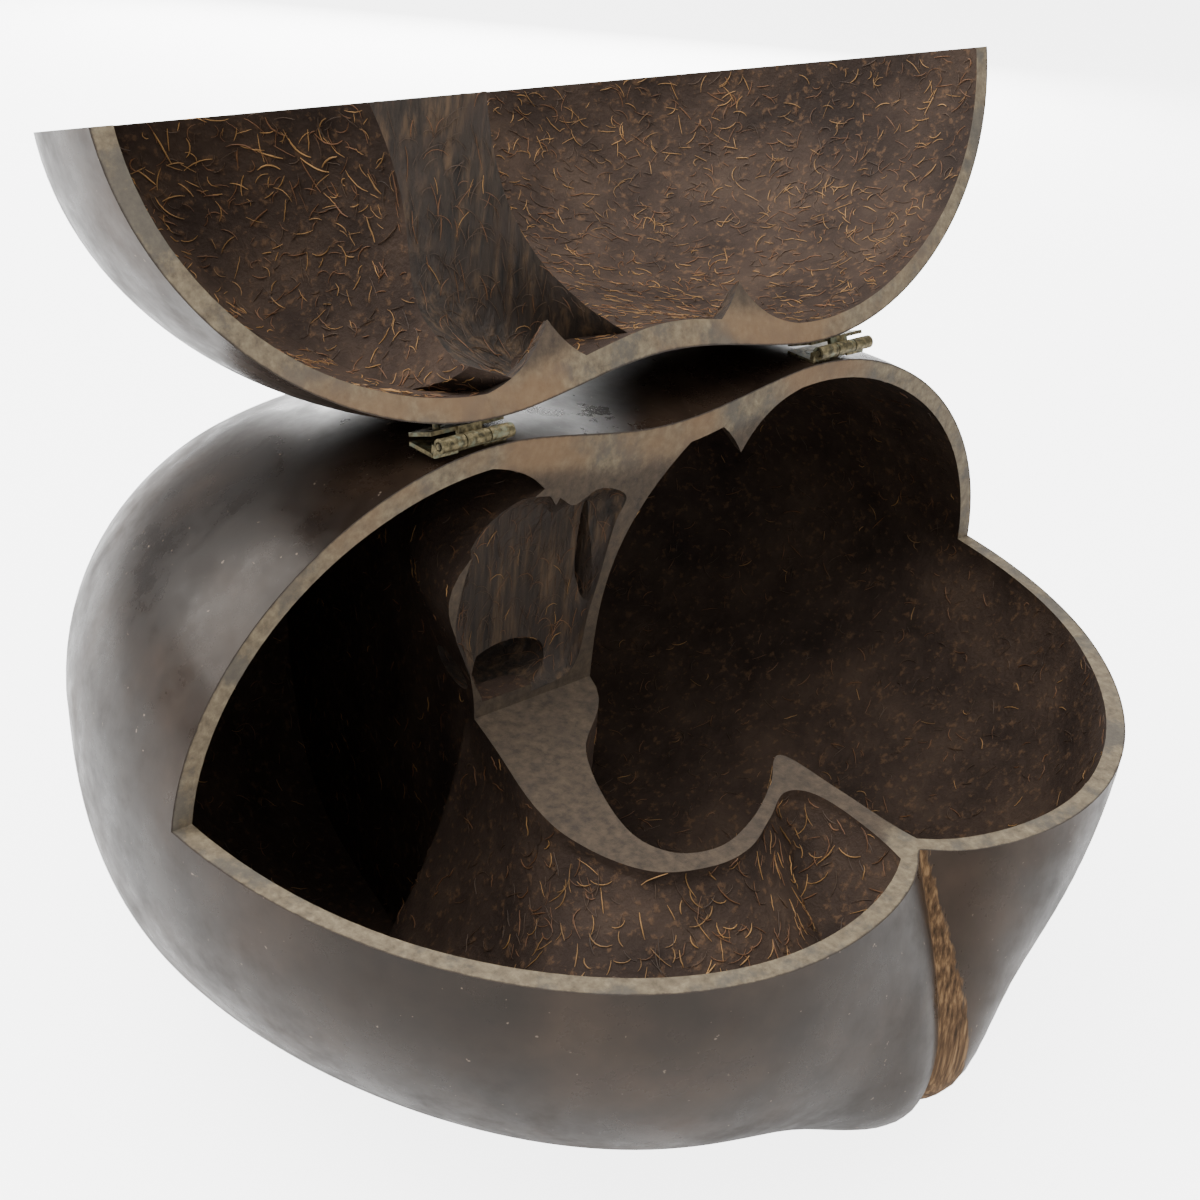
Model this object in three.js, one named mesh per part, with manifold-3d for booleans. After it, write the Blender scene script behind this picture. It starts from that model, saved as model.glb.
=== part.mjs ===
// A coco de mer shell made into a hinged box. Millimetres, +Z up, front towards -Y.
// The origin is on the floor, straight under the middle of the hinge line.
import * as THREE from 'three';
import { mergeVertices } from 'three/addons/utils/BufferGeometryUtils.js';
import Module from 'manifold-3d';

const wasm = await Module();
wasm.setup();

// Driving dimensions of the nut, from its middle, which lies below and behind the hinge line
const HINGE_HEIGHT = 165.5;
const MIDDLE_BELOW_HINGE = 77.5;
const MIDDLE_BEHIND_HINGE = 8;
const LOBE_OFFSET = 43;
const LOBE_WIDTH = 95.6;
const FRONT_LENGTH = 111.6;
const BACK_LENGTH = 118.2;
const TOP_DEPTH = 77;
const BOTTOM_DEPTH = 87;
const LOBE_MERGE = 0.95;
const FRONT_FULLNESS = 0.165;
const LEFT_FULLNESS = 0.178;
const RIGHT_FULLNESS = -0.05;
const FRONT_LEAN = 9;
const BELLY_SET_BACK = 32;
const TOP_VALLEY = 7.5;
const TOP_VALLEY_WIDTH = 45;

// Two swellings of the nut: a blunt point at the cleft's lower end, and the right lobe's low cheek
const SWELLINGS = [
  { height: 0.145, ray: new THREE.Vector3(0, -0.87, -0.49), spread: new THREE.Vector3(0.2, 0.28, 0.28) },
  { height: 0.076, ray: new THREE.Vector3(0.42, -0.53, -0.74), spread: new THREE.Vector3(0.33, 0.33, 0.33) },
];

// The groove that runs down the cleft
const GROOVE_DEPTH = 3.5;
const GROOVE_SPREAD = 0.05;

// The two saw cuts: one upright through the hinge line, one near level below it
const CUT_BELOW_HINGE = 73;
const CUT_SLOPE = THREE.MathUtils.degToRad(4.8);
const SAW_KERF = 0.8;
const LID_OPENING = THREE.MathUtils.degToRad(200);

// Walls of the hollow, a little thicker over the top
const WALL = 5;
const TOP_WALL_EXTRA = 1.5;
const CUTTER = 400;

// Teeth left on the shell's top where the septum met it
const TEETH = [-36, 27];
const TOOTH_TIP_BELOW_HINGE = 23;
const TOOTH_REACH = 12;

// Hollows in the septum's end: the pocket at the upright cut, the dark hole below it and a slit beside it
const POCKET = { centre: [-43, -4, HINGE_HEIGHT - 40], radii: [13, 25, 31] };
const POCKET_HOLE = { centre: [-44, 10, HINGE_HEIGHT - 66], radii: [11, 16, 9] };
const POCKET_SLIT = { centre: [-31, 10, HINGE_HEIGHT - 42], radii: [2.5, 12, 18] };

// Plan of the septum: from the back wall round the hook to the cleft, and back
const SEPTUM = [
  [-22, 140], [-40, 60], [-57, 0], [-67, -33], [-66, -50], [-58, -64], [-44, -70], [-26, -66], [-12, -60],
  [-5, -66], [-5, -84], [-10, -112], [6, -112], [1, -84], [1, -60], [-1, -49], [-12, -56], [-26, -62],
  [-40, -65], [-50, -58], [-51, -44], [-41, -24], [-24, 0], [-20, 60], [-12, 140],
];

// In the lid: the fillet on the septum's left side, the bowl it is hollowed into, and the groove in its end
const LID_FOOT = [
  [-50, 3], [-56, -18], [-62, -44], [-64, -58], [-74, -76], [-84, -92], [-100, -92], [-100, -40], [-90, 3],
];
const RIDGE_GROOVE = { centre: [-45, 2, HINGE_HEIGHT - 58], radii: [9.5, 17, 37] };
const LID_BOWL = { centre: [-104, -8, HINGE_HEIGHT - 46], radii: [48, 88, 60] };

// Above the lower cut the septum leans to the right, by this much times the rise cubed
const SEPTUM_LEAN = 0.00014;
const SEPTUM_KNEE = HINGE_HEIGHT - CUT_BELOW_HINGE;

// The thick foot of the hook, and the two bowls that it is hollowed into
const HOOK_FOOT = [[-72, -112], [-3, -112], [-3, -52], [-30, -63], [-56, -50], [-74, -40]];
const FRONT_BOWL = { centre: [-42, -68, HINGE_HEIGHT - 68], radii: [48, 38, 42] };
const LEFT_BOWL = { centre: [-98, -14, HINGE_HEIGHT - 78], radii: [60, 90, 84] };

// Hinges
const HINGE_CENTRES = [-62, 62];
const HINGE_LENGTH = 20.5;
const KNUCKLE_RADIUS = 1.7;
const PIN_RADIUS = 0.75;
const LEAF_START = 1.9;
const LEAF_WIDTH = 8;
const LEAF_THICKNESS = 0.9;
const LEAF_BOTTOM = -3.2;
const WEB_NEAR = 1.15;
const FIT_GAP = 0.3;
const SCREW_SPREAD = 5.5;
const SCREW_FROM_AXIS = 6;
const SCREW_HEAD_RADIUS = 1.5;
const SCREW_SHANK_RADIUS = 0.8;
const SCREW_LENGTH = 4.2;

const MIDDLE = new THREE.Vector3(0, MIDDLE_BEHIND_HINGE, HINGE_HEIGHT - MIDDLE_BELOW_HINGE);

// Solids are cut and joined as closed bodies
function solidOf(geometry) {
  const bare = geometry.index ? geometry.toNonIndexed() : geometry.clone();
  bare.deleteAttribute('normal');
  bare.deleteAttribute('uv');
  const merged = mergeVertices(bare, 1e-4);
  return new wasm.Manifold(new wasm.Mesh({
    numProp: 3,
    vertProperties: new Float32Array(merged.attributes.position.array),
    triVerts: new Uint32Array(merged.index.array),
  }));
}

function geometryOf(solid) {
  const mesh = solid.getMesh();
  const geometry = new THREE.BufferGeometry();
  geometry.setAttribute('position', new THREE.BufferAttribute(mesh.vertProperties, 3));
  geometry.setIndex(new THREE.BufferAttribute(mesh.triVerts, 1));
  return geometry;
}

function smoothStep(t) {
  const s = THREE.MathUtils.clamp(t, 0, 1);
  return s * s * (3 - 2 * s);
}

// Length of a unit ray from the middle to one lobe, an ellipsoid set off to one side
function lobeReach(ray, side) {
  const down = Math.max(-ray.z, 0);
  const offset = LOBE_OFFSET * (1 - LOBE_MERGE * down);
  const a = (ray.x / LOBE_WIDTH) ** 2 + (ray.y / FRONT_LENGTH) ** 2 + (ray.z / TOP_DEPTH) ** 2;
  const b = -side * offset * ray.x / LOBE_WIDTH ** 2;
  const c = (offset / LOBE_WIDTH) ** 2 - 1;
  return (-b + Math.sqrt(b * b - a * c)) / a;
}

// Both lobes: a sharp cleft at the front, a broad valley over the top and the back
function nutReach(ray) {
  const right = lobeReach(ray, 1);
  const left = lobeReach(ray, -1);
  const blend = 2 + 28 * smoothStep(ray.z * 1.1 + 0.15) + 30 * smoothStep(ray.y * 1.2 + 0.1);
  const share = THREE.MathUtils.clamp(0.5 + 0.5 * (right - left) / blend, 0, 1);
  const reach = left * (1 - share) + right * share + blend * share * (1 - share);
  const down = 3 * Math.max(-ray.z, 0) ** 1.2;
  const lowFront = FRONT_FULLNESS * down * Math.max(-ray.y, 0) ** 2.2;
  const lowSide = (ray.x < 0 ? LEFT_FULLNESS : RIGHT_FULLNESS) * down * ray.x ** 2;
  let swell = 1 + lowFront + lowSide;
  for (const { height, ray: middle, spread } of SWELLINGS) {
    swell += height * Math.exp(-ray.clone().sub(middle).divide(spread).lengthSq());
  }
  const inCleft = smoothStep(-3 * ray.y - 0.9) * smoothStep(-4 * ray.z + 0.6);
  return reach * swell - GROOVE_DEPTH * inCleft * Math.exp(-Math.abs(ray.x) / GROOVE_SPREAD);
}

// The nut's proportions: longer behind, deeper below, leaning forward under the cleft
function stretch(point) {
  const p = point.clone();
  if (p.y > 0) p.y *= BACK_LENGTH / FRONT_LENGTH;
  if (p.z < 0) p.z *= BOTTOM_DEPTH / TOP_DEPTH;
  const low = THREE.MathUtils.clamp(-p.z / BOTTOM_DEPTH, 0, 1);
  const front = THREE.MathUtils.clamp(-p.y / FRONT_LENGTH, 0, 1);
  p.y -= (FRONT_LEAN * front - BELLY_SET_BACK * (1 - front)) * low * low;
  const high = smoothStep((p.z / TOP_DEPTH - 0.45) / 0.4);
  p.z -= TOP_VALLEY * high * Math.exp(-((p.x / TOP_VALLEY_WIDTH) ** 2));
  return p.add(MIDDLE);
}

// A sphere's points, moved out along their rays until they meet the nut, less a wall
function nutForm(around, upwards, wall, topExtra) {
  const sphere = new THREE.SphereGeometry(1, around, upwards);
  sphere.rotateX(Math.PI / 2);
  const place = sphere.attributes.position;
  const ray = new THREE.Vector3();
  for (let i = 0; i < place.count; i += 1) {
    ray.fromBufferAttribute(place, i).normalize();
    const inset = wall + topExtra * smoothStep(ray.z * 1.4 - 0.3);
    const p = stretch(ray.clone().multiplyScalar(nutReach(ray) - inset));
    place.setXYZ(i, p.x, p.y, p.z);
  }
  return solidOf(sphere);
}

function box(x0, x1, y0, y1, z0, z1) {
  const geometry = new THREE.BoxGeometry(x1 - x0, y1 - y0, z1 - z0);
  geometry.translate((x0 + x1) / 2, (y0 + y1) / 2, (z0 + z1) / 2);
  return solidOf(geometry);
}

// Moves a form's points sideways as the septum leans
function leaning(geometry) {
  const place = geometry.attributes.position;
  for (let i = 0; i < place.count; i += 1) {
    const rise = Math.max(place.getZ(i) - SEPTUM_KNEE, 0);
    place.setX(i, place.getX(i) + SEPTUM_LEAN * rise ** 3);
  }
  return geometry;
}

function ellipsoid({ centre, radii }) {
  const geometry = new THREE.SphereGeometry(1, 32, 16);
  geometry.scale(...radii);
  geometry.translate(...centre);
  return geometry;
}

// An upright wall whose plan is a smooth closed outline, leaning above the lower cut
function wallFromPlan(outline, samples) {
  const curve = new THREE.CatmullRomCurve3(
    outline.map(([x, y]) => new THREE.Vector3(x, y, 0)), true, 'centripetal');
  const points = curve.getPoints(samples).slice(0, -1).map((p) => new THREE.Vector2(p.x, p.y));
  const extent = { depth: 2 * SEPTUM_KNEE, steps: 14, bevelEnabled: false };
  return solidOf(leaning(new THREE.ExtrudeGeometry(new THREE.Shape(points), extent)));
}

// A tooth hanging from the shell's top, where the septum met it
function tooth(x) {
  const top = HINGE_HEIGHT - 5.5;
  const tip = 5.5 - TOOTH_TIP_BELOW_HINGE;
  const flare = [[-19, 0], [-12, -1.5], [-6, -6], [-2.5, -12], [0, tip], [3, -11], [7, -6], [13, -1.5], [19, 0]];
  const shape = new THREE.Shape(flare.map(([across, drop]) => new THREE.Vector2(x + across, top + drop)));
  const geometry = new THREE.ExtrudeGeometry(shape, { depth: 2 * TOOTH_REACH, bevelEnabled: false });
  geometry.rotateX(Math.PI / 2);
  geometry.translate(0, TOOTH_REACH, 0);
  return solidOf(geometry);
}

// Everything on the lid's side of both saw cuts
function lidSide(kerf) {
  const geometry = new THREE.BoxGeometry(CUTTER, CUTTER, CUTTER);
  geometry.translate(0, -CUTTER / 2, CUTTER / 2);
  const place = geometry.attributes.position;
  for (let i = 0; i < place.count; i += 1) {
    const y = place.getY(i);
    const level = place.getZ(i) > 0 ? CUTTER : HINGE_HEIGHT - CUT_BELOW_HINGE + y * Math.tan(CUT_SLOPE);
    place.setXYZ(i, place.getX(i), y - kerf, level + kerf);
  }
  return solidOf(geometry);
}

function cylinderAlongX(radius, x0, x1, sides) {
  const geometry = new THREE.CylinderGeometry(radius, radius, x1 - x0, sides);
  geometry.rotateZ(Math.PI / 2);
  geometry.translate((x0 + x1) / 2, 0, 0);
  return solidOf(geometry);
}

function uprightCylinder(radius, x, y, z0, z1) {
  const geometry = new THREE.CylinderGeometry(radius, radius, z1 - z0, 12);
  geometry.rotateX(Math.PI / 2);
  geometry.translate(x, y, (z0 + z1) / 2);
  return solidOf(geometry);
}

// Screw places on a leaf, measured from the hinge line
function screwPlaces(centre, side) {
  return [-1, 1].map((end) => [centre + end * SCREW_SPREAD, side * SCREW_FROM_AXIS]);
}

// One leaf in the hinge's own frame, with its axis along X and closed: side 1 base, side -1 lid
function leaf(centre, side) {
  const half = HINGE_LENGTH / 2;
  const knuckle = HINGE_LENGTH / 3;
  const knuckles = side > 0 ? [-1, 1] : [0];
  const near = side > 0 ? LEAF_START : -LEAF_START - LEAF_WIDTH;
  const leafTop = LEAF_BOTTOM + LEAF_THICKNESS;
  let body = box(centre - half, centre + half, near, near + LEAF_WIDTH, LEAF_BOTTOM, leafTop);
  for (const step of knuckles) {
    const x0 = centre + step * knuckle - knuckle / 2 + FIT_GAP / 2;
    const x1 = centre + step * knuckle + knuckle / 2 - FIT_GAP / 2;
    const webY = side > 0 ? [WEB_NEAR, LEAF_START + 0.5] : [-LEAF_START - 0.5, -WEB_NEAR];
    body = body.add(cylinderAlongX(KNUCKLE_RADIUS, x0, x1, 20));
    body = body.add(box(x0, x1, webY[0], webY[1], LEAF_BOTTOM, -0.4));
  }
  body = body.subtract(cylinderAlongX(PIN_RADIUS + FIT_GAP, centre - half - 1, centre + half + 1, 16));
  for (const [x, y] of screwPlaces(centre, side)) {
    body = body.subtract(uprightCylinder(SCREW_HEAD_RADIUS + FIT_GAP, x, y, LEAF_BOTTOM - 1, 0));
  }
  return body;
}

function pin(centre) {
  const half = HINGE_LENGTH / 2;
  return cylinderAlongX(PIN_RADIUS, centre - half, centre + half, 16);
}

// A countersunk screw, its head level with the leaf
function screw(x, y) {
  const top = LEAF_BOTTOM + LEAF_THICKNESS;
  const profile = [
    new THREE.Vector2(0, top),
    new THREE.Vector2(SCREW_HEAD_RADIUS, top),
    new THREE.Vector2(SCREW_SHANK_RADIUS, LEAF_BOTTOM),
    new THREE.Vector2(SCREW_SHANK_RADIUS, top - SCREW_LENGTH + 0.6),
    new THREE.Vector2(0, top - SCREW_LENGTH),
  ];
  const geometry = new THREE.LatheGeometry(profile.reverse(), 12);
  geometry.rotateX(Math.PI / 2);
  geometry.translate(x, y, 0);
  return solidOf(geometry);
}

// What a leaf and its screws need cut out of the shell below them
function leafSeat(centre, side) {
  const half = HINGE_LENGTH / 2 + FIT_GAP;
  const reach = LEAF_START + LEAF_WIDTH + FIT_GAP;
  const [y0, y1] = side > 0 ? [-1, reach] : [-reach, 1];
  let seat = box(centre - half, centre + half, y0, y1, LEAF_BOTTOM - FIT_GAP, 6);
  for (const [x, y] of screwPlaces(centre, side)) {
    const foot = LEAF_BOTTOM + LEAF_THICKNESS - SCREW_LENGTH - FIT_GAP;
    seat = seat.add(uprightCylinder(SCREW_SHANK_RADIUS + FIT_GAP, x, y, foot, 0));
  }
  return seat.translate(0, 0, HINGE_HEIGHT);
}

function joined(solids) {
  return solids.reduce((all, one) => all.add(one));
}

function nutShells() {
  const belowFloor = box(-CUTTER, CUTTER, -CUTTER, CUTTER, -CUTTER, 0);
  const nut = nutForm(60, 34, 0, 0).subtract(belowFloor);
  const shell = nut.subtract(nutForm(48, 26, WALL, TOP_WALL_EXTRA));
  const teeth = joined(TEETH.map(tooth)).intersect(nut);
  const pocket = joined([POCKET, POCKET_HOLE, POCKET_SLIT].map((hollow) => solidOf(leaning(ellipsoid(hollow)))));
  const septum = wallFromPlan(SEPTUM, 64).intersect(nut);
  const bowls = joined([FRONT_BOWL, LEFT_BOWL].map((hollow) => solidOf(ellipsoid(hollow))));
  const hookFoot = wallFromPlan(HOOK_FOOT, 24).intersect(nut).subtract(bowls);
  const groove = solidOf(leaning(ellipsoid(RIDGE_GROOVE)));
  const lidFoot = wallFromPlan(LID_FOOT, 30).intersect(nut).subtract(solidOf(ellipsoid(LID_BOWL)));
  const seats = joined(HINGE_CENTRES.flatMap((centre) => [1, -1].map((side) => leafSeat(centre, side))));
  const base = joined([shell, septum.subtract(pocket), hookFoot, teeth]).subtract(lidSide(0)).subtract(seats);
  const lid = joined([shell, septum.subtract(groove), lidFoot, teeth]).intersect(lidSide(SAW_KERF)).subtract(seats);
  return { base, lid: lid.translate(0, 0, -HINGE_HEIGHT) };
}

const nutMaterial = new THREE.MeshStandardMaterial({ color: 0x2a1c16, roughness: 0.25, metalness: 0 });
const brassMaterial = new THREE.MeshStandardMaterial({ color: 0x8a7f55, roughness: 0.5, metalness: 0.9 });
const steelMaterial = new THREE.MeshStandardMaterial({ color: 0x6d6a60, roughness: 0.5, metalness: 0.9 });

function meshOf(name, solid, material) {
  const mesh = new THREE.Mesh(geometryOf(solid), material);
  mesh.name = name;
  return mesh;
}

const group = new THREE.Group();
const fixed = new THREE.Group();
fixed.position.z = HINGE_HEIGHT;
const opened = new THREE.Group();
opened.position.z = HINGE_HEIGHT;
opened.rotation.x = -LID_OPENING;
group.add(fixed, opened);

const shells = nutShells();
group.add(meshOf('base_shell', shells.base, nutMaterial));
opened.add(meshOf('lid_shell', shells.lid, nutMaterial));
HINGE_CENTRES.forEach((centre, index) => {
  const side = ['left', 'right'][index];
  fixed.add(meshOf(`${side}_hinge_base_leaf`, leaf(centre, 1), brassMaterial));
  fixed.add(meshOf(`${side}_hinge_pin`, pin(centre), brassMaterial));
  opened.add(meshOf(`${side}_hinge_lid_leaf`, leaf(centre, -1), brassMaterial));
  screwPlaces(centre, 1).forEach(([x, y], n) => {
    fixed.add(meshOf(`${side}_hinge_base_screw_${n + 1}`, screw(x, y), steelMaterial));
  });
  screwPlaces(centre, -1).forEach(([x, y], n) => {
    opened.add(meshOf(`${side}_hinge_lid_screw_${n + 1}`, screw(x, y), steelMaterial));
  });
});

export default group;
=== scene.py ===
import math

import bmesh
import bpy
import numpy as np
from mathutils import Matrix, Quaternion, Vector
from mathutils.bvhtree import BVHTree


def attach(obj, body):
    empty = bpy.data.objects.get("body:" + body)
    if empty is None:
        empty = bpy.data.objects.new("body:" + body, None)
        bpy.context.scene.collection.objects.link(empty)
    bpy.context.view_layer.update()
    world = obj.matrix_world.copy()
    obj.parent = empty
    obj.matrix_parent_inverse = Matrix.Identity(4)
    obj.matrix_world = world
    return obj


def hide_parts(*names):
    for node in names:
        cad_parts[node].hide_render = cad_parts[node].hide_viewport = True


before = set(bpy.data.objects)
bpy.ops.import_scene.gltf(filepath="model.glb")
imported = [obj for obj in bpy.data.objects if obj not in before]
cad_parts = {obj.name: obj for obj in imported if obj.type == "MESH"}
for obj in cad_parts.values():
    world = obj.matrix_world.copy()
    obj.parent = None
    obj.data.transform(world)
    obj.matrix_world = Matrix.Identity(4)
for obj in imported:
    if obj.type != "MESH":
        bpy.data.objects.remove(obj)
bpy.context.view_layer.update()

# The nut's driving sizes, in metres, from its middle below and behind the hinge line
HINGE_HEIGHT = 0.1655
MIDDLE_BELOW_HINGE = 0.0775
MIDDLE_BEHIND_HINGE = 0.008
LOBE_OFFSET = 0.043
LOBE_WIDTH = 0.0956
FRONT_LENGTH = 0.1116
BACK_LENGTH = 0.1182
TOP_DEPTH = 0.077
BOTTOM_DEPTH = 0.087
LOBE_MERGE = 0.95
FRONT_FULLNESS = 0.165
LEFT_FULLNESS = 0.178
RIGHT_FULLNESS = -0.05
FRONT_LEAN = 0.009
BELLY_SET_BACK = 0.032
TOP_VALLEY = 0.0075
TOP_VALLEY_WIDTH = 0.045
# Swellings: a blunt point at the cleft's lower end, and the right lobe's low cheek
SWELLINGS = (
    (0.145, np.array([0.0, -0.87, -0.49]), np.array([0.2, 0.28, 0.28])),
    (0.076, np.array([0.42, -0.53, -0.74]), np.array([0.33, 0.33, 0.33])),
)
GROOVE_DEPTH = 0.0035
GROOVE_SPREAD = 0.05
MIDDLE = np.array([0.0, MIDDLE_BEHIND_HINGE, HINGE_HEIGHT - MIDDLE_BELOW_HINGE])

# Saw cuts, walls and what the septum leaves
CUT_BELOW_HINGE = 0.073
CUT_SLOPE = math.radians(4.8)
SAW_KERF = 0.0008
LID_OPENING = math.radians(200)
WALL = 0.005
TOP_WALL_EXTRA = 0.0015
TEETH = (-0.036, 0.027)
TOOTH_TOP = 0.0075
TOOTH_TIP_BELOW_HINGE = 0.022
TOOTH_REACH = 0.014
TOOTH_SPREAD = 0.026
POCKET_DEPTH = 0.005
POCKET_HOLE = ((-0.044, 0.007, HINGE_HEIGHT - 0.0645), (0.013, 0.017, 0.0068))
POCKET_SLIT = ((-0.0215, 0.005, HINGE_HEIGHT - 0.039), (0.0018, 0.013, 0.013))
RIDGE_END = ((-0.058, 0.010, HINGE_HEIGHT - 0.056), (0.030, 0.040, 0.064))
LID_BOWL = ((-0.108, -0.008, HINGE_HEIGHT - 0.050), (0.060, 0.088, 0.060))
SEPTUM_BULGE = 0.017
BULGE_LEVEL = HINGE_HEIGHT - 0.034
BULGE_SPREAD = 0.020
FOOT_FLARE = 0.025
FOOT_DEPTH = 0.030
SEPTUM_KNEE = HINGE_HEIGHT - CUT_BELOW_HINGE
SEPTUM_LEAN = 140.0

# Plans, in millimetres, of the septum and of the lid's ridge
SEPTUM = (
    (-22, 140), (-40, 60), (-56, 0), (-66, -33), (-66, -50), (-59, -64), (-46, -70), (-34, -70), (-22, -65),
    (-11, -60), (-5, -66), (-5, -84), (-10, -112), (6, -112), (2, -84), (1, -66), (-1, -49),
    (-12, -56), (-26, -63), (-40, -66), (-51, -61), (-53, -48), (-42, -24), (-19, 0), (-15, 60), (-8, 140),
)
LID_RIDGE = (
    (-4, -112), (-10, -84), (-19, -54), (-29, -28), (-37, -4), (-42, 6), (-60, 6), (-90, -10), (-104, -50),
    (-96, -112),
)
# The septum's foot: its plan, in millimetres, and how far each point flares out below
FOOT = (
    (-54, 6, -0.2, 0), (-56, -4, -0.3, 0), (-65, -33, -0.45, -0.3), (-65, -50, -0.9, -0.6), (-58, -62, -0.8, -1),
    (-46, -68, -0.2, -1.2), (-34, -68.5, 0, -1.1), (-22, -63.5, 0, -1), (-10, -59, -0.4, -0.8),
    (-4, -66, -0.7, -0.2), (-4, -84, -0.7, 0), (-8, -112, -0.7, 0), (4, -112, 0, 0), (0, -84, 0, 0),
    (0, -60, 0, 0), (-11, -57.5, 0, 0), (-24, -64, 0, 0), (-44, -67, 0, 0), (-55, -60, 0, 0),
    (-58, -46, 0, 0), (-52, -28, 0, 0), (-40, -4, 0, 0), (-40, 6, 0, 0),
)
# The fibrous block's outline on the upright cut, in millimetres across and below the hinge line
BLOCK = (
    (-36, -20), (-46, -18.5), (-55, -21.5), (-60, -28), (-63.5, -41), (-63.3, -50), (-55.5, -66), (-51, -70.5),
    (-30, -70.5), (-24, -66), (-22, -55), (-19.5, -46), (-16, -32), (-13, -25), (-22, -21), (-30, -23.5),
)
MM = 0.001

# The strip of bare fibres down the cleft
STRIP_TOP = 0.085
STRIP_BOTTOM = 0.014
STRIP_DRIFT = 0.0045
STRIP_GROWTH = 0.0042

# Mesh densities
NUT_GRID = (224, 124)
HOLLOW_GRID = (180, 100)
CUT_GRID = 0.0025

# Material slots shared by the shells
POLISHED, CUT, INSIDE, FIBROUS = range(4)


def smooth_step(t):
    s = np.clip(t, 0.0, 1.0)
    return s * s * (3.0 - 2.0 * s)


# Form of the nut

def lobe_reach(ray, side):
    """Length of unit rays from the middle to one lobe, an ellipsoid set off to one side."""
    offset = LOBE_OFFSET * (1.0 - LOBE_MERGE * np.maximum(-ray[:, 2], 0.0))
    a = (ray[:, 0] / LOBE_WIDTH) ** 2 + (ray[:, 1] / FRONT_LENGTH) ** 2 + (ray[:, 2] / TOP_DEPTH) ** 2
    b = -side * offset * ray[:, 0] / LOBE_WIDTH ** 2
    c = (offset / LOBE_WIDTH) ** 2 - 1.0
    return (-b + np.sqrt(b * b - a * c)) / a


def nut_reach(ray):
    """Both lobes: a sharp cleft at the front, a broad valley over the top and the back."""
    right = lobe_reach(ray, 1)
    left = lobe_reach(ray, -1)
    blend = MM * (2 + 28 * smooth_step(ray[:, 2] * 1.1 + 0.15) + 30 * smooth_step(ray[:, 1] * 1.2 + 0.1))
    share = np.clip(0.5 + 0.5 * (right - left) / blend, 0.0, 1.0)
    reach = left * (1 - share) + right * share + blend * share * (1 - share)
    down = 3 * np.maximum(-ray[:, 2], 0) ** 1.2
    low_front = FRONT_FULLNESS * down * np.maximum(-ray[:, 1], 0) ** 2.2
    low_side = np.where(ray[:, 0] < 0, LEFT_FULLNESS, RIGHT_FULLNESS) * down * ray[:, 0] ** 2
    swell = 1 + low_front + low_side
    for height, middle, spread in SWELLINGS:
        swell = swell + height * np.exp(-(((ray - middle) / spread) ** 2).sum(axis=1))
    in_cleft = smooth_step(-3 * ray[:, 1] - 0.9) * smooth_step(-4 * ray[:, 2] + 0.6)
    return reach * swell - GROOVE_DEPTH * in_cleft * np.exp(-np.abs(ray[:, 0]) / GROOVE_SPREAD)


def stretch(points):
    """Longer behind, deeper below, leaning forward under the cleft."""
    p = points.copy()
    p[:, 1] *= np.where(p[:, 1] > 0, BACK_LENGTH / FRONT_LENGTH, 1.0)
    p[:, 2] *= np.where(p[:, 2] < 0, BOTTOM_DEPTH / TOP_DEPTH, 1.0)
    low = np.clip(-p[:, 2] / BOTTOM_DEPTH, 0, 1)
    front = np.clip(-p[:, 1] / FRONT_LENGTH, 0, 1)
    p[:, 1] -= (FRONT_LEAN * front - BELLY_SET_BACK * (1 - front)) * low * low
    high = smooth_step((p[:, 2] / TOP_DEPTH - 0.45) / 0.4)
    p[:, 2] -= TOP_VALLEY * high * np.exp(-((p[:, 0] / TOP_VALLEY_WIDTH) ** 2))
    return p + MIDDLE


def nut_surface(ray):
    return stretch(ray * nut_reach(ray)[:, None])


def ripple(ray):
    """A slow unevenness of the hollow's wall, between -1 and 1."""
    x, y, z = ray.T
    first = np.sin(7 * x + 3 * z + 1.3) * np.sin(6 * y - 2 * z + 0.4)
    second = np.sin(15 * z + 4 * x) * np.sin(13 * y + 5 * x + 2.1)
    return 0.65 * first + 0.35 * second


def hollow_surface(ray, lift=0.0):
    wall = WALL + TOP_WALL_EXTRA * smooth_step(ray[:, 2] * 1.4 - 0.3) + 0.0004 * ripple(ray) + lift
    return stretch(ray * (nut_reach(ray) - wall)[:, None])


# Meshes

def material_list():
    return [polished_shell(), cut_shell(), inner_shell(), fibrous_shell()]


def new_piece(name, mesh):
    piece = bpy.data.objects.new(name, mesh)
    bpy.context.collection.objects.link(piece)
    return piece


def finish_mesh(name, bm, slot):
    for face in bm.faces:
        face.material_index = slot
    mesh = bpy.data.meshes.new(name)
    bm.to_mesh(mesh)
    bm.free()
    for material in SHELL_MATERIALS:
        mesh.materials.append(material)
    return new_piece(name, mesh)


def moved_sphere(name, grid, surface, slot):
    """A sphere whose points are moved along their rays onto a surface."""
    bm = bmesh.new()
    bmesh.ops.create_uvsphere(bm, u_segments=grid[0], v_segments=grid[1], radius=1.0)
    ray = np.array([v.co for v in bm.verts])
    ray /= np.linalg.norm(ray, axis=1)[:, None]
    for vert, co in zip(bm.verts, surface(ray)):
        vert.co = co
    return finish_mesh(name, bm, slot)


def leaning(points):
    """Points moved sideways as the septum leans above the lower cut."""
    p = np.array(points, float)
    p[:, 0] += SEPTUM_LEAN * np.maximum(p[:, 2] - SEPTUM_KNEE, 0.0) ** 3
    return p


def bulging(points):
    """The septum's left side swells out beside the pocket."""
    p = np.array(points, float)
    left = smooth_step((-0.040 - p[:, 0]) / 0.012) * smooth_step((p[:, 1] + 0.02) / 0.02)
    p[:, 0] -= SEPTUM_BULGE * left * np.exp(-(((p[:, 2] - BULGE_LEVEL) / BULGE_SPREAD) ** 2))
    return leaning(p)


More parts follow.
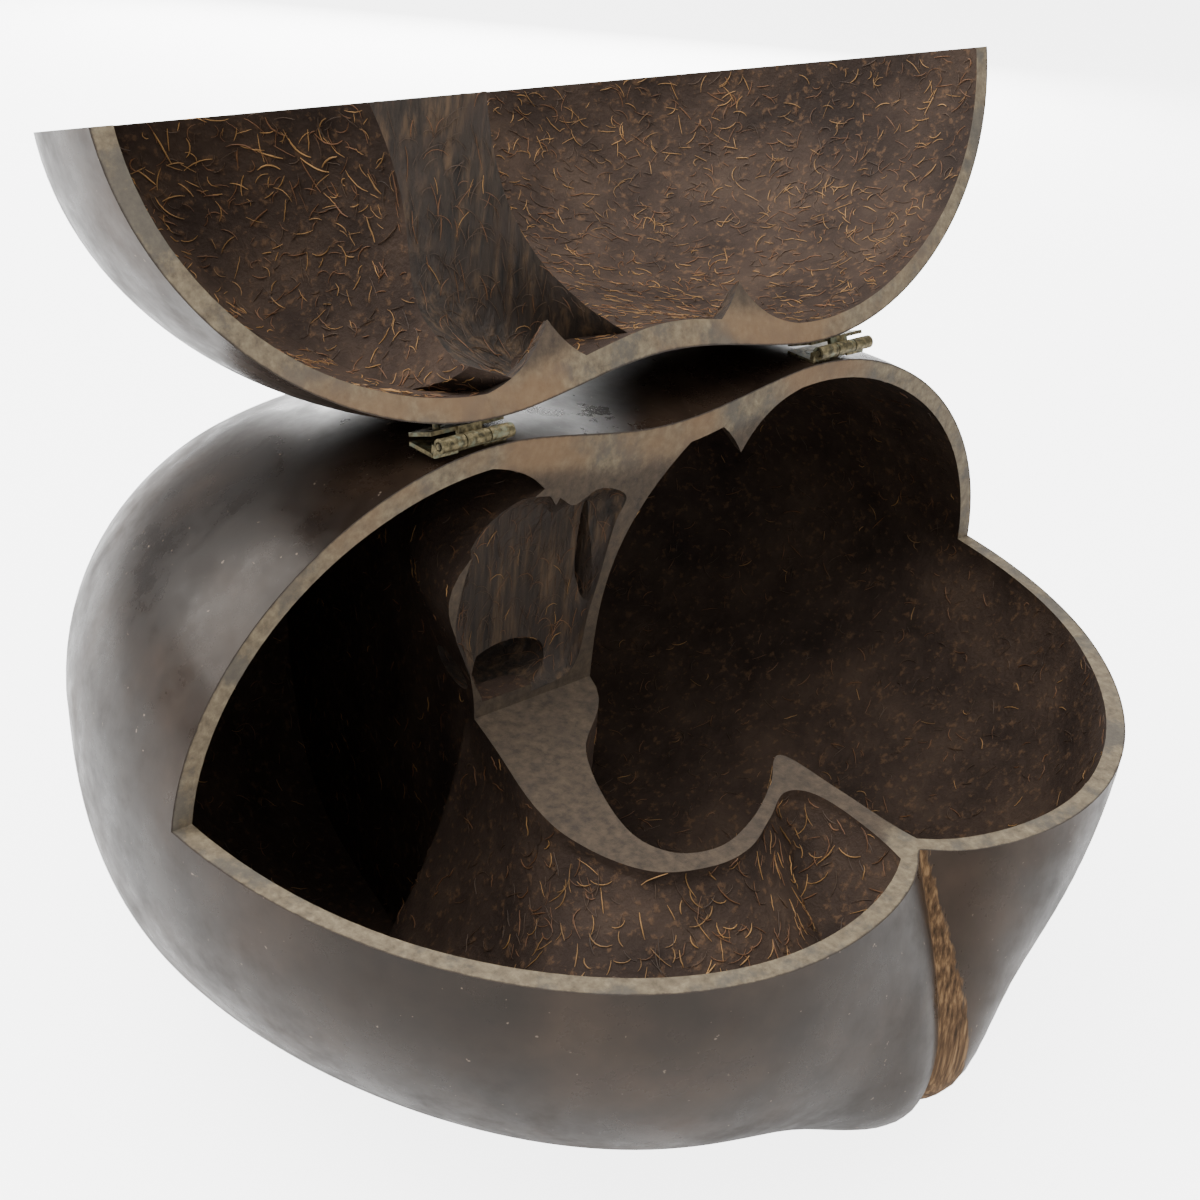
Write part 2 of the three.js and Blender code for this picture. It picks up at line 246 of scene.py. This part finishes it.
def ellipsoid(name, centre, radii, slot, lean=False):
    def surface(ray):
        points = ray * np.array(radii) + np.array(centre)
        return bulging(points) if lean else points
    return moved_sphere(name, (96, 48), surface, slot)


def closed_curve(points, samples):
    """Points along a smooth closed curve through the given ones."""
    knots = np.array(points, float)
    count = len(knots)
    out = []
    for i in range(count):
        a, b, c, d = (knots[(i + k) % count] for k in (-1, 0, 1, 2))
        for t in np.linspace(0, 1, samples, endpoint=False):
            out.append(0.5 * (2 * b + (c - a) * t + (2 * a - 5 * b + 4 * c - d) * t ** 2
                              + (3 * b - a - 3 * c + d) * t ** 3))
    return np.array(out)


def loft(name, rings, slot):
    """A closed body through a row of rings that all have the same number of points."""
    bm = bmesh.new()
    rows = [[bm.verts.new(co) for co in ring] for ring in rings]
    for one, other in zip(rows, rows[1:]):
        for i in range(len(one)):
            j = (i + 1) % len(one)
            bm.faces.new((one[i], one[j], other[j], other[i]))
    bm.faces.new(rows[0])
    bm.faces.new(rows[-1])
    bmesh.ops.recalc_face_normals(bm, faces=bm.faces)
    return finish_mesh(name, bm, slot)


def wall_from_plan(name, plan, samples, slot):
    """An upright wall whose plan is a smooth closed outline, leaning above the lower cut."""
    outline = closed_curve(plan, samples) * MM
    levels = np.linspace(0.0, 2 * SEPTUM_KNEE, 61)
    return loft(name, [bulging([(x, y, z) for x, y in outline]) for z in levels], slot)


def septum_foot():
    """The septum's wall flares out below the lower cut and runs into the floor of the hollow."""
    outline = closed_curve(FOOT, 8)
    rings = []
    for z in np.linspace(SEPTUM_KNEE + 0.004, 0.0, 49):
        drop = max(SEPTUM_KNEE - z, 0.0) / FOOT_DEPTH
        out = FOOT_FLARE * drop ** 1.8 - 0.0008
        rings.append([(x * MM + out * nx, y * MM + out * ny, z) for x, y, nx, ny in outline])
    return loft("foot", rings, INSIDE)


def fibrous_block():
    """What is taken from the septum's upright cut, so that its fibrous core lies a little back."""
    outline = closed_curve(BLOCK, 6) * MM
    middle = outline.mean(axis=0)
    rings = []
    for y, share in ((-0.01, 1.0), (0.0004, 1.0), (0.5 * POCKET_DEPTH, 0.95), (POCKET_DEPTH, 0.8)):
        rings.append([(x, y, HINGE_HEIGHT + z) for x, z in middle + (outline - middle) * share])
    return loft("block", rings, FIBROUS)


def tooth(x):
    """A tooth under the shell's top, widest and longest at the upright cut."""
    top = HINGE_HEIGHT - TOOTH_TOP
    rings = []
    for y in np.linspace(-TOOTH_REACH, TOOTH_REACH, 13):
        fade = 1 - (abs(y) / TOOTH_REACH) ** 1.6
        across = np.linspace(-1, 1, 41)
        pointed = (np.exp(-2.6 * abs(across)) - math.exp(-2.6)) / (1 - math.exp(-2.6))
        low = top - 0.0002 - fade * (TOOTH_TIP_BELOW_HINGE - TOOTH_TOP) * pointed
        rings.append([*((x + TOOTH_SPREAD * t, y, z) for t, z in zip(across, low)),
                      (x + TOOTH_SPREAD, y, top + 0.002), (x - TOOTH_SPREAD, y, top + 0.002)])
    return loft("tooth", rings, FIBROUS)


def cut_level(y):
    return HINGE_HEIGHT - CUT_BELOW_HINGE + y * math.tan(CUT_SLOPE)


def lid_side(kerf):
    """Everything on the lid's side of both saw cuts, its two cut faces finely divided."""
    size = 0.30
    steps = int(size / CUT_GRID)
    bm = bmesh.new()
    bmesh.ops.create_cube(bm, size=1.0)
    for vert in bm.verts:
        x = vert.co.x * size
        y = -kerf if vert.co.y > 0 else -size / 2 - kerf
        z = HINGE_HEIGHT + 0.03 if vert.co.z > 0 else cut_level(y) + kerf
        vert.co = (x, y, z)
    across = [e for e in bm.edges if abs(e.verts[0].co.x - e.verts[1].co.x) > 0.01]
    bmesh.ops.subdivide_edges(bm, edges=across, cuts=steps, use_grid_fill=True)
    along = [e for e in bm.edges if abs(e.verts[0].co.x - e.verts[1].co.x) < 1e-6]
    bmesh.ops.subdivide_edges(bm, edges=along, cuts=40, use_grid_fill=True)
    bmesh.ops.recalc_face_normals(bm, faces=bm.faces)
    return finish_mesh("lid_side", bm, CUT)


def boolean(piece, other, operation):
    step = piece.modifiers.new("step", "BOOLEAN")
    step.object = other
    step.operation = operation
    step.solver = "MANIFOLD"
    bpy.context.view_layer.update()
    result = bpy.data.meshes.new_from_object(piece.evaluated_get(bpy.context.evaluated_depsgraph_get()))
    piece.modifiers.clear()
    piece.data = result
    bpy.data.objects.remove(other)
    return piece


def whole_shell(name):
    nut = moved_sphere(name, NUT_GRID, nut_surface, POLISHED)
    return boolean(nut, moved_sphere("hollow", HOLLOW_GRID, hollow_surface, INSIDE), "DIFFERENCE")


def inside_wall(piece):
    return boolean(piece, moved_sphere("form", (160, 90), inner_form, FIBROUS), "INTERSECT")


def build_base():
    base = whole_shell("base_shell_fine")
    septum = inside_wall(wall_from_plan("septum", SEPTUM, 8, INSIDE))
    septum = boolean(septum, fibrous_block(), "DIFFERENCE")
    for hollow in (POCKET_HOLE, POCKET_SLIT):
        septum = boolean(septum, ellipsoid("pocket", *hollow, FIBROUS), "DIFFERENCE")
    for part in (septum, inside_wall(septum_foot()), *(inside_wall(tooth(x)) for x in TEETH)):
        base = boolean(base, part, "UNION")
    base = boolean(base, lid_side(0.0), "DIFFERENCE")
    below = [[(x, y, z) for x, y in ((-0.15, -0.15), (0.15, -0.15), (0.15, 0.15), (-0.15, 0.15))] for z in (-0.05, 0)]
    return boolean(base, loft("floor_cut", below, POLISHED), "DIFFERENCE")


def inner_form(ray):
    """Between the hollow and the outside, so that what is joined ends inside the wall."""
    return stretch(ray * (nut_reach(ray) - 0.5 * WALL)[:, None])


def build_lid():
    lid = whole_shell("lid_shell_fine")
    ridge = inside_wall(wall_from_plan("ridge", LID_RIDGE, 8, INSIDE))
    ridge = boolean(ridge, ellipsoid("lid_bowl", *LID_BOWL, INSIDE), "DIFFERENCE")
    ridge = boolean(ridge, ellipsoid("ridge_end", *RIDGE_END, FIBROUS, lean=True), "DIFFERENCE")
    for part in (ridge, *(inside_wall(tooth(x)) for x in TEETH)):
        lid = boolean(lid, part, "UNION")
    return boolean(lid, lid_side(SAW_KERF), "INTERSECT")


def lid_opening():
    to_hinge = Matrix.Translation((0, 0, HINGE_HEIGHT))
    return to_hinge @ Matrix.Rotation(-LID_OPENING, 4, "X") @ to_hinge.inverted()


# Materials

def new_material(name):
    material = bpy.data.materials.new(name)
    material.use_nodes = True
    nodes = material.node_tree.nodes
    return material, nodes, material.node_tree.links, nodes["Principled BSDF"]


def noise(nodes, links, scale, detail=6.0, roughness=0.55, stretch_by=(1, 1, 1), offset=(0, 0, 0)):
    place = nodes.new("ShaderNodeTexCoord")
    mapping = nodes.new("ShaderNodeMapping")
    mapping.inputs["Scale"].default_value = stretch_by
    mapping.inputs["Location"].default_value = offset
    texture = nodes.new("ShaderNodeTexNoise")
    texture.inputs["Scale"].default_value = scale
    texture.inputs["Detail"].default_value = detail
    texture.inputs["Roughness"].default_value = roughness
    links.new(place.outputs["Object"], mapping.inputs["Vector"])
    links.new(mapping.outputs["Vector"], texture.inputs["Vector"])
    return texture.outputs["Fac"]


def ramp(nodes, links, value, stops):
    node = nodes.new("ShaderNodeValToRGB")
    elements = node.color_ramp.elements
    while len(elements) < len(stops):
        elements.new(0.5)
    for element, (at, colour) in zip(elements, stops):
        element.position = at
        element.color = (*colour, 1.0)
    links.new(value, node.inputs["Fac"])
    return node.outputs["Color"]


def mix(nodes, links, factor, one, other, blend="MIX"):
    node = nodes.new("ShaderNodeMix")
    node.data_type = "RGBA"
    node.blend_type = blend
    for socket, value in ((node.inputs["Factor"], factor), (node.inputs["A"], one), (node.inputs["B"], other)):
        if isinstance(value, bpy.types.NodeSocket):
            links.new(value, socket)
        else:
            socket.default_value = value if isinstance(value, (int, float)) else (*value, 1.0)
    return node.outputs["Result"]


def bump(nodes, links, height, distance, strength=1.0):
    node = nodes.new("ShaderNodeBump")
    node.inputs["Distance"].default_value = distance
    node.inputs["Strength"].default_value = strength
    links.new(height, node.inputs["Height"])
    return node.outputs["Normal"]


def maths(nodes, links, operation, one, other=None, clamp=False):
    node = nodes.new("ShaderNodeMath")
    node.operation = operation
    node.use_clamp = clamp
    for socket, value in zip(node.inputs, (one, other)):
        if isinstance(value, bpy.types.NodeSocket):
            links.new(value, socket)
        elif value is not None:
            socket.default_value = value
    return node.outputs["Value"]


def stepped(nodes, links, value, low, high):
    """0 below low, 1 above high, smooth between."""
    node = nodes.new("ShaderNodeMapRange")
    node.interpolation_type = "SMOOTHSTEP"
    node.inputs["From Min"].default_value = low
    node.inputs["From Max"].default_value = high
    links.new(value, node.inputs["Value"])
    return node.outputs["Result"]


def coordinate(nodes, links):
    place = nodes.new("ShaderNodeTexCoord")
    split = nodes.new("ShaderNodeSeparateXYZ")
    links.new(place.outputs["Object"], split.inputs["Vector"])
    return split.outputs["X"], split.outputs["Y"], split.outputs["Z"]


def depth_value(nodes):
    node = nodes.new("ShaderNodeAttribute")
    node.attribute_name = "depth"
    return node.outputs["Fac"]


def cleft_strip(nodes, links):
    """1 on the strip of bare fibres that runs down the cleft and widens to the point."""
    x, y, z = coordinate(nodes, links)
    down = stepped(nodes, links, z, STRIP_TOP, STRIP_BOTTOM)
    ragged = noise(nodes, links, 900.0, 3.0, 0.6, stretch_by=(1, 1, 0.12))
    middle = maths(nodes, links, "MULTIPLY", down, STRIP_DRIFT)
    half = maths(nodes, links, "MULTIPLY_ADD", down, STRIP_GROWTH)
    links.new(maths(nodes, links, "MULTIPLY", ragged, 0.004), half.node.inputs[2])
    off = maths(nodes, links, "ABSOLUTE", maths(nodes, links, "SUBTRACT", x, middle))
    inside = stepped(nodes, links, maths(nodes, links, "SUBTRACT", half, off), -0.0002, 0.0008)
    front = maths(nodes, links, "LESS_THAN", y, -0.06)
    above = stepped(nodes, links, z, STRIP_BOTTOM - 0.008, STRIP_BOTTOM)
    return maths(nodes, links, "MULTIPLY", maths(nodes, links, "MULTIPLY", inside, front), above)


def polished_shell():
    material, nodes, links, shader = new_material("polished_shell")
    clouds = noise(nodes, links, 22.0, 8.0, 0.6)
    grain = noise(nodes, links, 240.0, 5.0, 0.6, stretch_by=(1, 1, 0.35))
    colour = ramp(nodes, links, clouds, [(0.38, (0.009, 0.0055, 0.004)), (0.52, (0.020, 0.0125, 0.0085)),
                                         (0.68, (0.042, 0.026, 0.017))])
    specks = stepped(nodes, links, noise(nodes, links, 520.0, 2.0), 0.72, 0.76)
    colour = mix(nodes, links, specks, colour, (0.16, 0.12, 0.09))
    strands = noise(nodes, links, 1100.0, 5.0, 0.6, stretch_by=(1, 1, 0.05))
    bare = ramp(nodes, links, strands, [(0.32, (0.025, 0.014, 0.007)), (0.5, (0.10, 0.055, 0.026)),
                                        (0.66, (0.24, 0.145, 0.07))])
    strip = cleft_strip(nodes, links)
    links.new(mix(nodes, links, strip, colour, bare), shader.inputs["Base Color"])
    shine = ramp(nodes, links, noise(nodes, links, 60.0, 8.0, 0.65), [(0.35, (0.20,) * 3), (0.65, (0.46,) * 3)])
    shader.inputs["Specular IOR Level"].default_value = 0.30
    shader.inputs["Specular Tint"].default_value = (1.0, 0.91, 0.81, 1)
    links.new(mix(nodes, links, strip, shine, (0.8, 0.8, 0.8)), shader.inputs["Roughness"])
    height = mix(nodes, links, strip, grain, strands)
    links.new(bump(nodes, links, height, 0.0002, 0.12), shader.inputs["Normal"])
    return material


def cut_shell():
    material, nodes, links, shader = new_material("cut_shell")
    depth = depth_value(nodes)
    x, y, z = coordinate(nodes, links)
    fine = noise(nodes, links, 420.0, 8.0, 0.7)
    stains = noise(nodes, links, 75.0, 8.0, 0.65)
    warm = noise(nodes, links, 30.0, 4.0, 0.5, offset=(3, 1, 2))
    colour = ramp(nodes, links, fine, [(0.30, (0.085, 0.064, 0.040)), (0.50, (0.165, 0.128, 0.080)),
                                       (0.70, (0.26, 0.21, 0.13))])
    grey = stepped(nodes, links, stains, 0.48, 0.60)
    colour = mix(nodes, links, maths(nodes, links, "MULTIPLY", grey, 0.7), colour, (0.075, 0.068, 0.058))
    lift = maths(nodes, links, "SUBTRACT", z, HINGE_HEIGHT)
    far = maths(nodes, links, "SQRT", maths(nodes, links, "ADD", maths(nodes, links, "MULTIPLY", lift, lift),
                                            maths(nodes, links, "MULTIPLY", y, y)))
    near_hinge = maths(nodes, links, "SUBTRACT", 1.0, stepped(nodes, links, far, 0.008, 0.030))
    rust = maths(nodes, links, "MULTIPLY", near_hinge, stepped(nodes, links, warm, 0.42, 0.60))
    colour = mix(nodes, links, maths(nodes, links, "MULTIPLY", rust, 0.7), colour, (0.19, 0.108, 0.05))
    core = stepped(nodes, links, maths(nodes, links, "ADD", depth, maths(nodes, links, "MULTIPLY", stains, 5.0)), 9.0, 15.0)
    worn = ramp(nodes, links, fine, [(0.35, (0.028, 0.018, 0.011)), (0.65, (0.075, 0.050, 0.030))])
    colour = mix(nodes, links, maths(nodes, links, "MULTIPLY", core, 0.9), colour, worn)
    edge = maths(nodes, links, "ADD", depth, maths(nodes, links, "MULTIPLY", fine, 0.6))
    skin = maths(nodes, links, "SUBTRACT", 1.0, stepped(nodes, links, edge, 0.45, 0.95))
    colour = mix(nodes, links, maths(nodes, links, "MULTIPLY", skin, 0.9), colour, (0.022, 0.013, 0.009))
    links.new(colour, shader.inputs["Base Color"])
    shader.inputs["Roughness"].default_value = 0.75
    links.new(bump(nodes, links, fine, 0.0006, 0.5), shader.inputs["Normal"])
    return material


def inner_shell():
    material, nodes, links, shader = new_material("inner_shell")
    patches = noise(nodes, links, 45.0, 8.0, 0.65)
    hairs = noise(nodes, links, 420.0, 7.0, 0.65, offset=(1, 5, 2))
    colour = ramp(nodes, links, patches, [(0.33, (0.024, 0.015, 0.011)), (0.5, (0.044, 0.028, 0.020)),
                                          (0.68, (0.070, 0.045, 0.031))])
    flecks = stepped(nodes, links, hairs, 0.54, 0.66)
    colour = mix(nodes, links, maths(nodes, links, "MULTIPLY", flecks, 0.5), colour, (0.16, 0.088, 0.045))
    links.new(colour, shader.inputs["Base Color"])
    shader.inputs["Roughness"].default_value = 0.75
    shader.inputs["Specular IOR Level"].default_value = 0.2
    links.new(bump(nodes, links, hairs, 0.0008, 0.8), shader.inputs["Normal"])
    return material


def fibrous_shell():
    material, nodes, links, shader = new_material("fibrous_shell")
    strands = noise(nodes, links, 420.0, 6.0, 0.65, stretch_by=(1, 1, 0.09))
    patches = noise(nodes, links, 60.0, 6.0, 0.6)
    colour = ramp(nodes, links, strands, [(0.34, (0.010, 0.0065, 0.004)), (0.50, (0.033, 0.021, 0.0125)),
                                          (0.66, (0.105, 0.062, 0.031))])
    shade = maths(nodes, links, "MULTIPLY", stepped(nodes, links, patches, 0.42, 0.62), 0.7)
    colour = mix(nodes, links, shade, colour, (0.030, 0.019, 0.013))
    links.new(colour, shader.inputs["Base Color"])
    shader.inputs["Roughness"].default_value = 0.7
    links.new(bump(nodes, links, strands, 0.0015, 0.8), shader.inputs["Normal"])
    return material


def aged_brass():
    material, nodes, links, shader = new_material("aged_brass")
    tarnish = noise(nodes, links, 700.0, 6.0, 0.6)
    verdigris = stepped(nodes, links, noise(nodes, links, 300.0, 5.0, 0.6, offset=(4, 2, 7)), 0.52, 0.62)
    colour = ramp(nodes, links, tarnish, [(0.35, (0.05, 0.042, 0.024)), (0.5, (0.14, 0.115, 0.06)),
                                          (0.65, (0.27, 0.22, 0.12))])
    colour = mix(nodes, links, maths(nodes, links, "MULTIPLY", verdigris, 0.7), colour, (0.14, 0.16, 0.105))
    links.new(colour, shader.inputs["Base Color"])
    links.new(maths(nodes, links, "MULTIPLY_ADD", verdigris, -0.5), shader.inputs["Metallic"])
    shader.inputs["Metallic"].links[0].from_node.inputs[2].default_value = 0.8
    shader.inputs["Roughness"].default_value = 0.5
    return material


def fibre_material(name, colour):
    material, nodes, links, shader = new_material(name)
    tint = ramp(nodes, links, noise(nodes, links, 90.0, 3.0), [(0.35, tuple(0.5 * c for c in colour)), (0.6, colour)])
    links.new(tint, shader.inputs["Base Color"])
    shader.inputs["Roughness"].default_value = 0.5
    return material


# Fibres lying on the hollow's wall

def surface_tree(piece):
    mesh = piece.data
    points = [v.co.copy() for v in mesh.vertices]
    faces = [tuple(f.vertices) for f in mesh.polygons]
    return BVHTree.FromPolygons(points, faces), [f.material_index for f in mesh.polygons]


def fibre_path(rng, tree, slots, slot, start, normal, heading, length, bend):
    """Points of one fibre that follows the surface, or nothing where it would leave its slot."""
    steps = 5
    here, up = start, normal
    path = []
    for _ in range(steps + 1):
        path.append(here + up * rng.uniform(0.00005, 0.00035))
        heading = heading - up * heading.dot(up)
        heading.normalize()
        heading.rotate(Quaternion(up, bend / steps))
        place, normal, index, _ = tree.find_nearest(here + heading * (length / steps))
        if slots[index] != slot:
            return None
        here, up = place, normal
    return path


def scatter_fibres(name, piece, layers, seed):
    rng = np.random.default_rng(seed)
    tree, slots = surface_tree(piece)
    mesh = piece.data
    mesh.calc_loop_triangles()
    triangles = mesh.loop_triangles
    areas = np.array([t.area for t in triangles])
    curve = bpy.data.curves.new(name, "CURVE")
    curve.dimensions = "3D"
    curve.bevel_depth = MM
    curve.bevel_resolution = 0
    for material in FIBRE_MATERIALS:
        curve.materials.append(material)
    for slot, count, reach_mm, radius_mm, region, along, shares in layers:
        weights = areas * [t.material_index == slot and region(t.center) for t in triangles]
        for index in rng.choice(len(triangles), count, p=weights / weights.sum()):
            corners = [mesh.vertices[i].co for i in triangles[int(index)].vertices]
            u, v = sorted(rng.random(2))
            spot = corners[0] * u + corners[1] * (v - u) + corners[2] * (1 - v)
            start, normal, _, _ = tree.find_nearest(spot)
            heading = Vector(rng.normal(size=3)) * (1.0 if along is None else 0.25)
            if along is not None:
                heading += Vector(along)
            length = rng.uniform(*reach_mm) * MM
            path = fibre_path(rng, tree, slots, slot, start, normal, heading, length, rng.normal(0, 1.1))
            if path is None:
                continue
            size = rng.uniform(*radius_mm)
            spline = curve.splines.new("POLY")
            spline.points.add(len(path) - 1)
            for i, place in enumerate(path):
                spline.points[i].co = (*place, 1.0)
                spline.points[i].radius = size * (0.35 + 0.65 * math.sin(math.pi * (i + 0.4) / (len(path) - 0.2)))
            spline.material_index = int(rng.choice(len(FIBRE_MATERIALS), p=shares))
    fibres = bpy.data.objects.new(name, curve)
    bpy.context.collection.objects.link(fibres)
    return fibres


def anywhere(place):
    return True


def in_front_cell(place):
    return place.y < -0.045 and place.x < 0.004 and place.z > 0.045


def on_hook(place):
    return -0.078 < place.x < 0.0 and -0.085 < place.y < -0.03 and place.z < 0.095


def in_pocket(place):
    return place.z > 0.095


def lid_left_top(place):
    return place.x < -0.03 and place.z > 0.195


def add_piece(piece, body):
    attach(piece, body)
    return piece


def depth_below_surface(points):
    """How far each point lies inside the nut, measured along its ray from the middle."""
    target = points - MIDDLE
    q = target.copy()
    for _ in range(14):
        q += target - (stretch(q) - MIDDLE)
    length = np.linalg.norm(q, axis=1)
    return nut_reach(q / length[:, None]) - length


def mark_depth(piece):
    """The depth in millimetres on every vertex, for the layers seen on the cut faces."""
    mesh = piece.data
    points = np.array([v.co for v in mesh.vertices])
    layer = mesh.attributes.new("depth", "FLOAT", "POINT")
    layer.data.foreach_set("value", depth_below_surface(points) / MM)


def build_shells():
    base = build_base()
    lid = build_lid()
    for piece, node, body in ((base, "base_shell", "base"), (lid, "lid_shell", "lid")):
        smooth_by_angle(piece, math.radians(40))
        mark_depth(piece)
        if body == "lid":
            piece.data.transform(lid_opening())
        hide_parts(node)
        add_piece(piece, body)
    return base, lid


def smooth_by_angle(piece, angle):
    mesh = piece.data
    bm = bmesh.new()
    bm.from_mesh(mesh)
    for face in bm.faces:
        face.smooth = True
    for edge in bm.edges:
        if len(edge.link_faces) == 2:
            one, other = edge.link_faces
            sharp = one.material_index != other.material_index or edge.calc_face_angle(0) > angle
            edge.smooth = not sharp
    bm.to_mesh(mesh)
    bm.free()


def build_fibres(base, lid):
    base_layers = (
        (INSIDE, 3000, (2.0, 6.0), (0.09, 0.16), anywhere, None, DULL),
        (INSIDE, 500, (3.0, 7.0), (0.09, 0.19), in_front_cell, (-0.2, -0.3, -0.5), BRIGHT),
        (INSIDE, 450, (2.5, 7.0), (0.08, 0.15), on_hook, (-0.6, -0.8, -0.6), DULL),
        (FIBROUS, 700, (2.5, 7.0), (0.05, 0.09), in_pocket, (0.1, 0, 1), DARK),
    )
    lid_layers = (
        (INSIDE, 3000, (2.0, 6.0), (0.08, 0.15), anywhere, None, MIXED),
        (INSIDE, 90, (5.0, 9.0), (0.14, 0.24), lid_left_top, None, BRIGHT),
        (FIBROUS, 300, (3.0, 8.0), (0.07, 0.13), anywhere, (0.1, 0.2, 1), DARK),
    )
    add_piece(scatter_fibres("base_fibres", base, base_layers, 11), "base")
    add_piece(scatter_fibres("lid_fibres", lid, lid_layers, 12), "lid")


def paint_metal():
    brass = aged_brass()
    for name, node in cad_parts.items():
        if name.endswith("shell"):
            continue
        node.data.materials.clear()
        node.data.materials.append(brass)


# Camera and light

def add_camera():
    focal_pixels = 1829.2
    photo_width = 1200
    right = Vector((0.72968, -0.67733, 0.09378))
    down = Vector((-0.24661, -0.38859, -0.88780))
    forward = Vector((0.63777, 0.62468, -0.45058))
    place = Vector((-0.3043, -0.2802, HINGE_HEIGHT + 0.1503))
    data = bpy.data.cameras.new("camera")
    data.sensor_width = 36.0
    data.lens = data.sensor_width * focal_pixels / photo_width
    camera = bpy.data.objects.new("camera", data)
    turn = Matrix((right, -down, -forward)).transposed().to_4x4()
    camera.matrix_world = Matrix.Translation(place) @ turn
    bpy.context.collection.objects.link(camera)
    bpy.context.scene.camera = camera


def add_area(name, place, aim, size, power):
    data = bpy.data.lights.new(name, "AREA")
    data.shape = "RECTANGLE"
    data.size, data.size_y = size
    data.energy = power
    light = bpy.data.objects.new(name, data)
    light.location = place
    light.rotation_euler = (Vector(aim) - Vector(place)).to_track_quat("-Z", "Y").to_euler()
    bpy.context.collection.objects.link(light)


FLOOR_GLOW = 0.6
FLOOR_SEEN_GLOW = 4.5


def add_studio():
    bm = bmesh.new()
    bmesh.ops.create_grid(bm, x_segments=1, y_segments=1, size=6.0)
    mesh = bpy.data.meshes.new("floor")
    bm.to_mesh(mesh)
    bm.free()
    material, nodes, links, shader = new_material("floor")
    shader.inputs["Base Color"].default_value = (0.9, 0.9, 0.9, 1)
    shader.inputs["Roughness"].default_value = 0.9
    shader.inputs["Emission Color"].default_value = (1, 1, 1, 1)
    seen = nodes.new("ShaderNodeLightPath").outputs["Is Camera Ray"]
    glow = maths(nodes, links, "MULTIPLY", seen, FLOOR_SEEN_GLOW - FLOOR_GLOW)
    links.new(maths(nodes, links, "ADD", glow, FLOOR_GLOW), shader.inputs["Emission Strength"])
    mesh.materials.append(material)
    floor = new_piece("floor", mesh)
    world = bpy.data.worlds.new("studio")
    world.use_nodes = True
    world.node_tree.nodes["Background"].inputs["Color"].default_value = (1, 1, 1, 1)
    world.node_tree.nodes["Background"].inputs["Strength"].default_value = 0.55
    bpy.context.scene.world = world
    centre = (0, 0, 0.12)
    add_area("top", (-0.15, 0.1, 1.4), centre, (1.6, 1.6), 26)
    add_area("left", (-0.9, 0.9, 1.0), centre, (1.2, 1.2), 24)
    add_area("behind", (0.9, 1.1, 0.3), centre, (0.9, 0.35), 20)
    add_area("front", (-0.5, -1.1, 1.0), centre, (2.2, 2.2), 6)


SHELL_MATERIALS = material_list()
FIBRE_MATERIALS = [
    fibre_material("fibre_gold", (0.42, 0.225, 0.075)),
    fibre_material("fibre_rust", (0.20, 0.088, 0.034)),
    fibre_material("fibre_brown", (0.085, 0.048, 0.026)),
]
BRIGHT = (0.70, 0.22, 0.08)
MIXED = (0.34, 0.40, 0.26)
DULL = (0.14, 0.40, 0.46)
DARK = (0.03, 0.22, 0.75)

build_fibres(*build_shells())
paint_metal()
add_camera()
add_studio()
